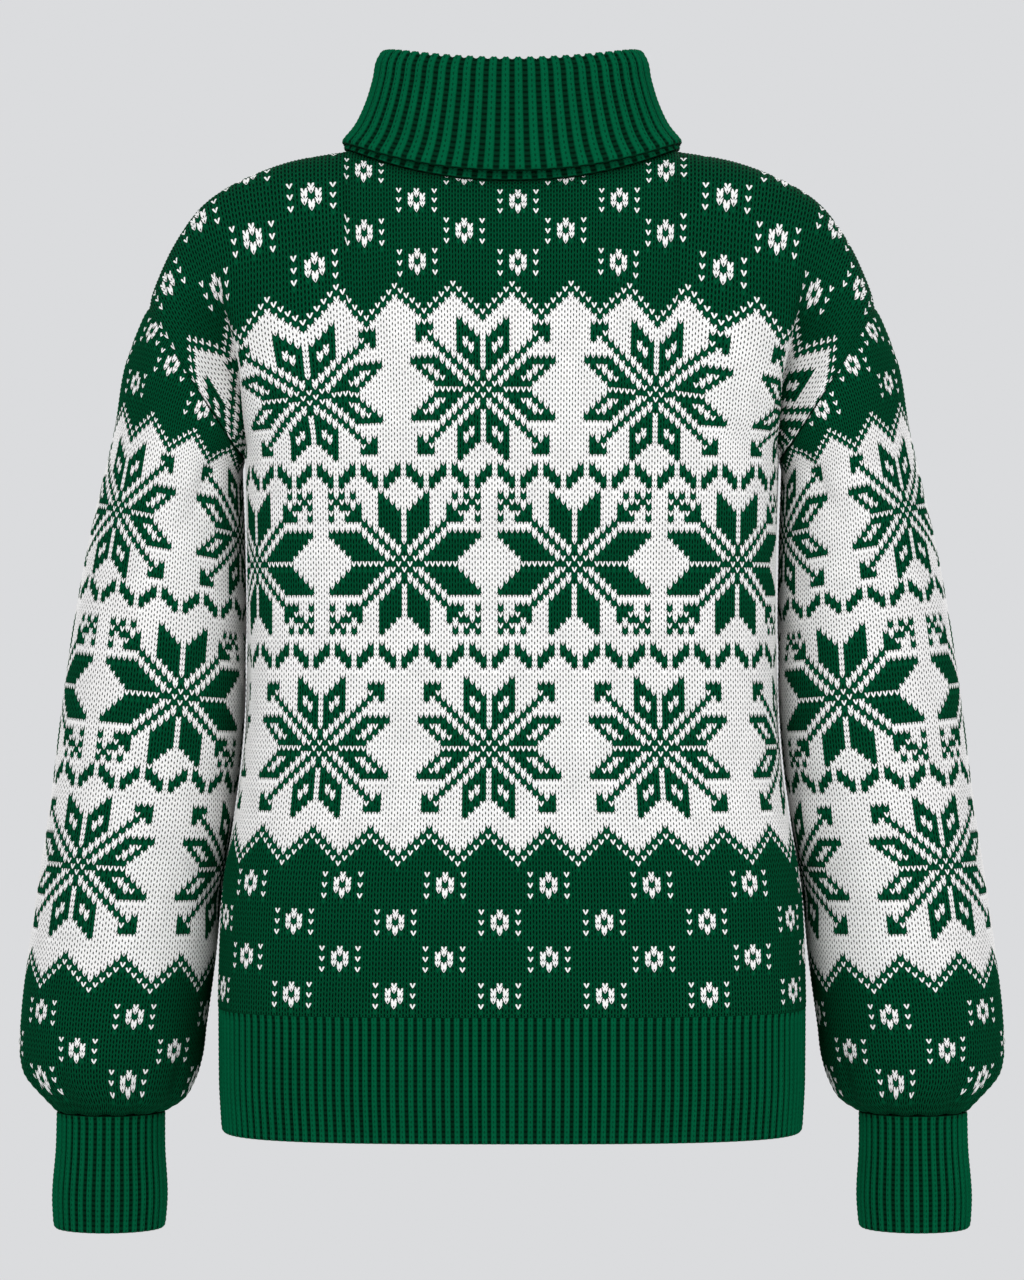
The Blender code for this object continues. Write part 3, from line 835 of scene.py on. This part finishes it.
def make_panel(side, finishes):
    """A body panel, knitted face and plain inside."""
    reach = PANEL_STITCHES / 2
    columns = np.linspace(-reach, reach, 2 * PANEL_STITCHES + 1)
    heights = np.linspace(HEM_TOP, UNDERARM_HEIGHT, BODY_STEPS)
    steps = np.linspace(0.0, 1.0, UPPER_STEPS)
    surface = panel_surface(columns / reach, side, heights, steps)
    normals = surface_normals(surface, wrap=False, flip=side == "front")
    tops = panel_tops(columns, side)
    stations = lengths(BODY_ROWS, ROW_COLUMNS, "height")
    lower = follow(heights, stations, named(BODY_ROWS, ROW_COLUMNS, "row"))
    lower = np.broadcast_to(lower[:, None], (len(heights), len(columns)))
    onset = (np.abs(columns) / reach - CROWDING_FROM) / (CROWDING_FULL - CROWDING_FROM)
    crowding = UPPER_CROWDING * ease(onset)
    climb = steps[1:, None] * (1.0 + crowding[None, :] * (1.0 - steps[1:, None]))
    upper = UNDERARM_ROW + climb * (tops - UNDERARM_ROW)[None, :]
    rows = np.concatenate([lower, upper])
    folds = BACK_FOLDS if side == "back" else FRONT_FOLDS
    surface = press_folds(surface, normals, columns[None, :], rows, folds)
    rolled = seam_roll(reach - np.abs(columns)[None, :]) + seam_roll(tops[None, :] - rows)
    face = surface - normals * rolled[:, :, None]
    cloth = Cloth()
    white = chart(BODY_CHART, -(PANEL_STITCHES // 2))
    numbers = add_stitches(cloth, face, normals, rows, tops, white, wrap=False)
    inner_rows = np.unique(np.append(np.arange(0, len(rows), INNER_ROWS), len(rows) - 1))
    inside = cloth.add_points((surface - normals * JERSEY_WALL)[inner_rows][:, ::PANEL_INNER_COLUMNS])
    cloth.add_grid(inside, in_lane(grid_spots(*inside.shape), WALL_LANE), finish=1)
    cloth.add_rim(numbers[0], inside[0])
    cloth.add_rim(numbers[-1], inside[-1])
    cloth.add_rim(unique_run(numbers[:, 0]), inside[:, 0])
    cloth.add_rim(unique_run(numbers[:, -1]), inside[:, -1])
    return cloth.to_object(f"knitted_{side}_panel", finishes)


def unique_run(numbers):
    """The numbers along an edge, each once."""
    return numbers[np.append(True, numbers[1:] != numbers[:-1])]


def make_sleeve(side, finishes):
    """A sleeve, knitted all round, its seam line under the arm."""
    sign = -1.0 if side == "left" else 1.0
    half = SLEEVE_STITCHES // 2
    columns = np.linspace(-half, half, 2 * SLEEVE_STITCHES, endpoint=False)
    turns = columns / half * np.pi
    rings, knots = sleeve_rings(turns)
    levels = np.linspace(0.0, SEAM_LEVEL, SLEEVE_STEPS)
    surface = spline(levels, knots, rings)
    surface[:, :, 0] *= sign
    normals = surface_normals(surface, wrap=True, flip=sign > 0)
    low, high = SLEEVE_TOP_ROW["underarm"], SLEEVE_TOP_ROW["shoulder"]
    tops = low + (high - low) * (1 + np.cos(turns)) / 2
    last = knots[-3]
    above = last + (levels[:, None] - last) / (SEAM_LEVEL - last) * (tops - last)[None, :]
    rows = np.where(levels[:, None] <= last, levels[:, None], above)
    surface = press_folds(surface, normals, columns[None, :], rows, SLEEVE_FOLDS)
    rolled = seam_roll(tops[None, :] - rows) + CUFF_ROLL * seam_roll(rows)
    face = surface - normals * rolled[:, :, None]
    cloth = Cloth()
    white = chart(SLEEVE_CHART, -half)
    numbers = add_stitches(cloth, face, normals, rows, tops, white, wrap=True)
    inner = (surface - normals * JERSEY_WALL)[::INNER_ROWS, ::SLEEVE_INNER_COLUMNS]
    inside = closed(cloth.add_points(inner))
    cloth.add_grid(inside, in_lane(grid_spots(*inside.shape), WALL_LANE), finish=1)
    cloth.add_rim(numbers[0], inside[0])
    cloth.add_rim(numbers[-1], inside[-1])
    return cloth.to_object(f"knitted_sleeve_{side}", finishes)


# ---- ribs ----


def rib_lines(ribs, all_round):
    """Shares round a ribbed piece and the relief at each, from trough to trough."""
    share = named(RIB_PROFILE, RIB_PROFILE_COLUMNS, "share")
    height = named(RIB_PROFILE, RIB_PROFILE_COLUMNS, "height")
    places = (np.arange(ribs)[:, None] + share[None, :]).ravel()
    relief = np.tile(height, ribs)
    if not all_round:
        places = np.append(places, ribs)
        relief = np.append(relief, height[0])
    return places, relief


def rib_face(cloth, points, places, wrap, step_rows, shift, lane):
    """A ribbed face: its points and triangles, each with its place in ribs across and stitches up."""
    numbers = cloth.add_points(points)
    if wrap:
        numbers = closed(numbers)
        places = np.append(places, np.ceil(places[-1]))
    place = np.stack(np.meshgrid(places, step_rows), axis=-1)
    spots = in_lane(place / (places[-1], step_rows[-1]), lane)
    cloth.add_grid(numbers, spots, place + (shift, 0.0))
    return numbers


def add_rib(cloth, middle, normals, places, relief, wrap, edge_fade):
    """Both faces and the edges of a ribbed piece: a ridge on one face is a trough on the other.

    Rows alternate between the fat of a stitch and its narrow, and edge_fade flattens the ribs at an edge.
    """
    rows = len(middle)
    fat = np.where(np.arange(rows) % 2 == 0, *RIB_FAT)[:, None] * (relief > -0.5)[None, :]
    height = RIB_DEPTH * (relief[None, :] * edge_fade[:, None] + fat)
    face = middle + normals * (RIB_WALL / 2 + height)[:, :, None]
    numbers = rib_face(cloth, face, places, wrap, np.arange(rows) / 2, 0.0, RIB_FACE_LANE)
    steps = np.unique(np.append(np.arange(0, rows, BACK_ROWS), rows - 1))
    sunk = RIB_DEPTH * (1.0 + relief[None, :].clip(-1.0, 0.0)) * edge_fade[:, None]
    back = (middle - normals * (RIB_WALL / 2 - sunk)[:, :, None])[steps]
    inside = rib_face(cloth, back, places, wrap, steps / 2, 0.5, RIB_BACK_LANE)
    for end in (0, -1):
        cloth.add_rim(numbers[end], inside[end])
    if not wrap:
        for end in (0, -1):
            cloth.add_rim(numbers[:, end], inside[:, end])


def round_in(middle, normals, rows_from_edge, depth):
    """Turns the face in over the last few rows before a free edge."""
    left = (1 - rows_from_edge / RIB_TURN_ROWS).clip(0.0)
    turned = depth * (1 - np.sqrt(np.clip(1 - left ** 2, 0.0, 1.0)))
    return middle - normals * turned[:, None, None]


def fade_at_edges(count, least, top_rows=RIB_FADE_ROWS):
    """How much of its relief a rib keeps at each row, less near its two edges."""
    return least + (1.0 - least) * ease(count / RIB_FADE_ROWS) * ease((len(count) - 1 - count) / top_rows)


def make_hem_rib(side, finishes):
    """Half of the hem rib, from its free edge up to the panel."""
    places, relief = rib_lines(HEM_RIBS, all_round=False)
    rows = 2 * round((HEM_TOP - HEM_BOTTOM) / RIB_ROW) + 1
    heights = np.linspace(HEM_BOTTOM, HEM_TOP, rows)
    shares = places / HEM_RIBS * 2 - 1
    face = -1.0 if side == "back" else 1.0
    surface = np.stack([body_ring(shares, height, face) for height in heights])
    normals = surface_normals(surface, wrap=False, flip=side == "front")
    middle = surface - normals * RIB_WALL / 2
    count = np.arange(rows, dtype=float)
    middle = round_in(middle, normals, count, RIB_EDGE_TURN["hem"])
    fade = fade_at_edges(count, RIB_LEAST)
    cloth = Cloth()
    add_rib(cloth, middle, normals, places, relief, False, fade)
    return cloth.to_object(f"ribbed_hem_{side}", finishes)


def make_cuff(side, finishes):
    """A cuff, from the sleeve down to its free edge."""
    sign = -1.0 if side == "left" else 1.0
    places, relief = rib_lines(CUFF_RIBS, all_round=True)
    turns = places / CUFF_RIBS * 2 * np.pi
    table = MM * np.array(CUFF)[::-1]
    rows = 2 * round((table[-1, 0] - table[0, 0]) / RIB_ROW) + 1
    fine = spline(np.linspace(table[0, 0], table[-1, 0], rows), table[:, 0], table)
    rings = []
    for height, outer_x, inner_x, half_depth in fine:
        outer, inner = np.array([outer_x, 0.0, height]), np.array([inner_x, 0.0, height])
        rings.append(ring_points(outer, inner, half_depth, CUFF_FORWARD, turns))
    surface = np.stack(rings)
    surface[:, :, 0] *= sign
    normals = surface_normals(surface, wrap=True, flip=sign > 0)
    count = np.arange(rows, dtype=float)
    middle = round_in(surface - normals * RIB_WALL / 2, normals, count, RIB_EDGE_TURN["cuff"])
    fade = fade_at_edges(count, RIB_LEAST, CUFF_TOP_FADE_ROWS)
    cloth = Cloth()
    add_rib(cloth, middle, normals, places, relief, True, fade)
    return cloth.to_object(f"ribbed_cuff_{side}", finishes)


def make_collar(finishes):
    """The collar in one tube of rib: stand, fold and outer ply."""
    places, relief = rib_lines(COLLAR_RIBS, all_round=True)
    shares = places / COLLAR_RIBS * 2 - 1
    table = MM * np.array(COLLAR)
    length = np.hypot(np.diff(table[:, 0]), np.diff(table[:, 3])).sum()
    rows = 2 * round(length / RIB_ROW) + 1
    middle = collar_rings(shares, rows)
    normals = surface_normals(middle, wrap=True, flip=True)
    count = np.arange(rows, dtype=float)
    middle = round_in(middle, normals, count[::-1], RIB_EDGE_TURN["collar"])
    fade = fade_at_edges(count, COLLAR_RIB_LEAST)
    cloth = Cloth()
    add_rib(cloth, middle, normals, places, relief, True, fade)
    return cloth.to_object("ribbed_collar", finishes)


# ---- finishes ----


class Recipe:
    """A material's node tree, with short ways to add sums and mixes to it."""

    def __init__(self, name, roughness, sheen):
        self.material = bpy.data.materials.new(name)
        self.material.use_nodes = True
        self.nodes = self.material.node_tree.nodes
        self.links = self.material.node_tree.links
        self.shader = self.nodes["Principled BSDF"]
        self.shader.inputs["Roughness"].default_value = roughness
        self.shader.inputs["Sheen Weight"].default_value = sheen
        self.shader.inputs["Specular IOR Level"].default_value = 0.02

    def feed(self, socket, value):
        """Sets a socket to a number or colour, or links it."""
        if isinstance(value, bpy.types.NodeSocket):
            self.links.new(value, socket)
        elif isinstance(value, tuple):
            socket.default_value = (*value, 1.0)
        else:
            socket.default_value = value

    def sum(self, operation, one, two=0.0, three=0.0, clamp=False):
        """One Math node."""
        node = self.nodes.new("ShaderNodeMath")
        node.operation = operation
        node.use_clamp = clamp
        for socket, value in zip(node.inputs, (one, two, three)):
            self.feed(socket, value)
        return node.outputs[0]

    def mix(self, share, one, two):
        """A colour between two colours."""
        node = self.nodes.new("ShaderNodeMix")
        node.data_type = "RGBA"
        self.feed(node.inputs["Factor"], share)
        self.feed(node.inputs[6], one)
        self.feed(node.inputs[7], two)
        return node.outputs[2]

    def between(self, share, one, two):
        """A number between two numbers."""
        gap = self.sum("SUBTRACT", two, one)
        return self.sum("MULTIPLY_ADD", gap, share, one)

    def soft_step(self, value, start, end):
        """0 below start and 1 above end."""
        node = self.nodes.new("ShaderNodeMapRange")
        node.interpolation_type = "SMOOTHSTEP"
        self.feed(node.inputs["Value"], value)
        node.inputs["From Min"].default_value = start
        node.inputs["From Max"].default_value = end
        return node.outputs["Result"]

    def grain(self, scale, detail=2.0):
        """Noise on the piece's own coordinates, about 0.5."""
        place = self.nodes.new("ShaderNodeTexCoord")
        node = self.nodes.new("ShaderNodeTexNoise")
        node.inputs["Scale"].default_value = scale
        node.inputs["Detail"].default_value = detail
        self.links.new(place.outputs["Object"], node.inputs["Vector"])
        return node.outputs["Fac"]

    def stitch_place(self):
        """The two coordinates of the piece's stitch map."""
        node = self.nodes.new("ShaderNodeUVMap")
        node.uv_map = "stitch"
        split = self.nodes.new("ShaderNodeSeparateXYZ")
        self.links.new(node.outputs["UV"], split.inputs[0])
        return split.outputs[0], split.outputs[1]

    def bump(self, height, distance, strength):
        node = self.nodes.new("ShaderNodeBump")
        node.inputs["Distance"].default_value = distance
        node.inputs["Strength"].default_value = strength
        self.links.new(height, node.inputs["Height"])
        self.links.new(node.outputs["Normal"], self.shader.inputs["Normal"])


def pore(recipe, across, up, own):
    """The small gap between two legs of one colour, smaller in the white, where painted shade goes."""
    side = recipe.sum("POWER", recipe.sum("DIVIDE", across, recipe.between(own, 0.18, 0.13)), 2.0)
    height = recipe.sum("DIVIDE", recipe.sum("SUBTRACT", up, 0.5), recipe.between(own, 0.38, 0.30))
    inside = recipe.sum("SUBTRACT", 1.0, recipe.sum("ADD", side, recipe.sum("POWER", height, 2.0)))
    return recipe.soft_step(inside, 0.0, 0.5)


def end_of_leg(recipe, across, up):
    """Past the rounded top of a leg, or in the notch between two legs."""
    notch = recipe.sum("SUBTRACT", up, recipe.sum("MULTIPLY_ADD", across, 2.1, 0.49))
    top = recipe.sum("ADD", up, recipe.sum("SUBTRACT", across, 1.10))
    return recipe.soft_step(recipe.sum("MAXIMUM", notch, top), -0.04, 0.06)


def under_leg(recipe, across, up):
    """Past the rounded lower edge of a leg."""
    curve = recipe.sum("MULTIPLY", recipe.sum("MULTIPLY", across, across), 1.9)
    return recipe.soft_step(recipe.sum("SUBTRACT", recipe.sum("ADD", curve, 0.13), up), -0.04, 0.06)


def beside_leg(recipe, across, up):
    """Past the outer side of a leg, and in the pinch between it and the leg below."""
    outside = recipe.sum("MULTIPLY", recipe.sum("SUBTRACT", across, 0.43), 2.0)
    pinch = recipe.sum("SUBTRACT", recipe.sum("MULTIPLY_ADD", across, 0.92, -0.08), up)
    return recipe.soft_step(recipe.sum("MAXIMUM", outside, pinch), -0.04, 0.06)


def two_colour_jersey():
    """Green and white wool jersey: legs of yarn, with painted shade in the gap in each V and beside it."""
    recipe = Recipe("two_colour_jersey", 0.92, 0.0)
    across, up = recipe.stitch_place()
    yarns = recipe.nodes.new("ShaderNodeAttribute")
    yarns.attribute_name = "yarns"
    split = recipe.nodes.new("ShaderNodeSeparateColor")
    recipe.links.new(yarns.outputs["Color"], split.inputs[0])
    own, above, below = split.outputs[0], split.outputs[1], split.outputs[2]
    beside = yarns.outputs["Alpha"]
    top_differs = recipe.sum("ABSOLUTE", recipe.sum("SUBTRACT", own, above))
    low_differs = recipe.sum("ABSOLUTE", recipe.sum("SUBTRACT", own, below))
    side_differs = recipe.sum("ABSOLUTE", recipe.sum("SUBTRACT", own, beside))
    top_shaded_gap = recipe.between(top_differs, pore(recipe, across, up, own), end_of_leg(recipe, across, up))
    low_shaded_gap = recipe.sum("MULTIPLY", low_differs, under_leg(recipe, across, up))
    beside_pore = pore(recipe, recipe.sum("SUBTRACT", 0.5, across), up, own)
    side_shaded_gap = recipe.between(side_differs, beside_pore, beside_leg(recipe, across, up))
    yarn = recipe.mix(own, GREEN_YARN, WHITE_YARN)
    fuzz = recipe.grain(900.0, 3.0)
    cloudy = recipe.grain(60.0)
    shade = recipe.sum("MULTIPLY_ADD", recipe.sum("SUBTRACT", fuzz, 0.5), 0.45, 1.0)
    patchy = recipe.sum("MULTIPLY_ADD", recipe.sum("SUBTRACT", cloudy, 0.5), 0.25, 1.0)
    shade = recipe.sum("MULTIPLY", shade, patchy)
    # Painted shade: the yarn darkens towards the edges of each leg, much in the green and a little in the
    # white
    leg = recipe.sum("SUBTRACT", up, recipe.sum("MULTIPLY_ADD", across, 1.2, 0.2))
    edge = recipe.sum("POWER", recipe.sum("ABSOLUTE", recipe.sum("DIVIDE", leg, 0.5)), 2.0)
    edge = recipe.sum("MULTIPLY_ADD", edge, recipe.between(own, -0.40, -0.10), 1.0)
    shade = recipe.sum("MULTIPLY", shade, edge)
    shaded = recipe.nodes.new("ShaderNodeVectorMath")
    shaded.operation = "SCALE"
    recipe.links.new(yarn, shaded.inputs[0])
    recipe.links.new(shade, shaded.inputs["Scale"])
    colour = shaded.outputs[0]
    # Painted shade: each gap takes a dark colour, dark green or grey between legs of one colour and a shaded
    # green beside a leg of the other colour
    for gap, differs in ((top_shaded_gap, top_differs), (side_shaded_gap, side_differs), (low_shaded_gap, low_differs)):
        shaded_hollow = recipe.mix(own, GREEN_GAP_SHADE, WHITE_GAP_SHADE)
        colour = recipe.mix(gap, colour, recipe.mix(differs, shaded_hollow, SHADED_GREEN_BESIDE_WHITE))
    recipe.links.new(colour, recipe.shader.inputs["Base Color"])
    shaded_hollow = recipe.sum("MAXIMUM", recipe.sum("MAXIMUM", top_shaded_gap, side_shaded_gap), low_shaded_gap)
    solid = recipe.sum("SUBTRACT", 1.0, shaded_hollow)
    height = recipe.sum("ADD", solid, recipe.sum("MULTIPLY", fuzz, 0.3))
    recipe.bump(height, 0.0007, 0.5)
    return recipe.material


def jersey_inside():
    """The back of the two-colour jersey: short floats of both yarns."""
    recipe = Recipe("jersey_inside", 0.92, 0.0)
    place = recipe.nodes.new("ShaderNodeTexCoord")
    stretch = recipe.nodes.new("ShaderNodeMapping")
    stretch.inputs["Scale"].default_value = (60.0, 60.0, 300.0)
    recipe.links.new(place.outputs["Object"], stretch.inputs["Vector"])
    noise = recipe.nodes.new("ShaderNodeTexNoise")
    noise.inputs["Scale"].default_value = 1.0
    recipe.links.new(stretch.outputs["Vector"], noise.inputs["Vector"])
    floats = recipe.soft_step(noise.outputs["Fac"], 0.50, 0.56)
    recipe.links.new(recipe.mix(floats, GREEN_YARN, (0.62, 0.64, 0.62)), recipe.shader.inputs["Base Color"])
    recipe.bump(noise.outputs["Fac"], 0.001, 0.6)
    return recipe.material


def green_rib():
    """Green wool rib: two legs up each rib, pores between them, and purl bars in the troughs, with painted
    shade in the troughs and pores.
    """
    recipe = Recipe("green_wool_rib", 0.92, 0.0)
    across, up = recipe.stitch_place()
    part = recipe.sum("ABSOLUTE", recipe.sum("SUBTRACT", recipe.sum("FRACT", across), 0.5))
    row = recipe.sum("ABSOLUTE", recipe.sum("SUBTRACT", recipe.sum("FRACT", up), 0.5))
    shaded_trough = recipe.soft_step(part, 0.22, 0.36)
    pore = recipe.sum(
        "ADD",
        recipe.sum("POWER", recipe.sum("DIVIDE", part, 0.075), 2.0),
        recipe.sum("POWER", recipe.sum("DIVIDE", row, 0.33), 2.0),
    )
    pore = recipe.soft_step(recipe.sum("SUBTRACT", 1.0, pore), 0.0, 0.6)
    bars = recipe.soft_step(row, 0.10, 0.34)
    fuzz = recipe.grain(900.0, 3.0)
    cloudy = recipe.grain(60.0)
    shade = recipe.sum("MULTIPLY_ADD", recipe.sum("SUBTRACT", fuzz, 0.5), 0.45, 1.0)
    patchy = recipe.sum("MULTIPLY_ADD", recipe.sum("SUBTRACT", cloudy, 0.5), 0.25, 1.0)
    shade = recipe.sum("MULTIPLY", shade, patchy)
    shaded = recipe.nodes.new("ShaderNodeVectorMath")
    shaded.operation = "SCALE"
    shaded.inputs[0].default_value = RIB_YARN
    recipe.links.new(shade, shaded.inputs["Scale"])
    # Painted shade: the troughs and their purl bars are drawn dark, and each pore darker still
    shaded_purl = recipe.mix(bars, RIB_TROUGH_SHADE, SHADED_RIB_BAR)
    colour = recipe.mix(shaded_trough, shaded.outputs[0], shaded_purl)
    colour = recipe.mix(recipe.sum("MULTIPLY", pore, 0.6), colour, GREEN_GAP_SHADE)
    recipe.links.new(colour, recipe.shader.inputs["Base Color"])
    slant = recipe.sum("FRACT", recipe.sum("MULTIPLY_ADD", part, -2.2, up))
    strand = recipe.sum("MULTIPLY", slant, recipe.sum("SUBTRACT", 1.0, slant))
    height = recipe.sum("ADD", recipe.sum("MULTIPLY", strand, 3.0), recipe.sum("MULTIPLY", fuzz, 0.4))
    height = recipe.sum("SUBTRACT", height, pore)
    recipe.bump(height, 0.0006, 0.5)
    return recipe.material


# ---- stage ----


def make_camera():
    """Level with the middle of the garment, straight at its back."""
    camera = bpy.data.objects.new("camera", bpy.data.cameras.new("camera"))
    camera.data.lens = 122.1
    camera.data.sensor_width = 36.0
    camera.location = (0.0, -2.8, -0.316)
    camera.rotation_euler = (np.pi / 2, 0.0, 0.0)
    bpy.context.scene.collection.objects.link(camera)
    bpy.context.scene.camera = camera


def make_light(name, place, aim, size, power):
    """A soft square light."""
    data = bpy.data.lights.new(name, "AREA")
    data.size = size
    data.energy = power
    light = bpy.data.objects.new(name, data)
    light.location = place
    away = np.array(place) - np.array(aim)
    light.rotation_euler = (
        np.arctan2(np.hypot(away[0], away[1]), away[2]),
        0.0,
        np.arctan2(away[0], -away[1]),
    )
    bpy.context.scene.collection.objects.link(light)


def make_stage():
    """A plain pale floor well below the hanging garment, and even pale light all round."""
    bpy.ops.object.select_all(action="DESELECT")
    bpy.ops.mesh.primitive_circle_add(vertices=96, radius=1.55, fill_type="NGON", location=(0.0, 0.0, -1.2))
    floor = bpy.context.object
    floor.name = "floor"
    paint = bpy.data.materials.new("pale_floor")
    paint.use_nodes = True
    shader = paint.node_tree.nodes["Principled BSDF"]
    shader.inputs["Base Color"].default_value = (0.70, 0.71, 0.72, 1.0)
    shader.inputs["Roughness"].default_value = 0.95
    floor.data.materials.append(paint)
    world = bpy.data.worlds.new("studio")
    world.use_nodes = True
    world.node_tree.nodes["Background"].inputs["Color"].default_value = (0.708, 0.715, 0.730, 1.0)
    world.node_tree.nodes["Background"].inputs["Strength"].default_value = 1.0
    bpy.context.scene.world = world
    middle = (0.0, 0.0, -0.30)
    make_light("key", (-0.9, -2.6, 1.3), middle, 1.6, 29.0)
    make_light("fill", (1.4, -2.2, 0.2), middle, 1.8, 13.0)
    make_light("rear", (0.6, 2.6, 1.2), middle, 1.8, 40.0)
    bpy.context.scene.view_settings.view_transform = "Standard"
    bpy.context.scene.view_settings.look = "None"


def declare(piece, node):
    """Hangs a piece on the root body and hides the part of the model it stands for."""
    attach(piece, "root")
    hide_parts(node)


def main():
    make_camera()
    make_stage()
    jersey = [two_colour_jersey(), jersey_inside()]
    rib = [green_rib()]
    for side in ("back", "front"):
        declare(make_panel(side, jersey), f"{side}_panel")
        declare(make_hem_rib(side, rib), f"hem_rib_{side}")
    for side in ("left", "right"):
        declare(make_sleeve(side, jersey), f"sleeve_{side}")
        declare(make_cuff(side, rib), f"cuff_{side}")
    declare(make_collar(rib), "collar")


main()
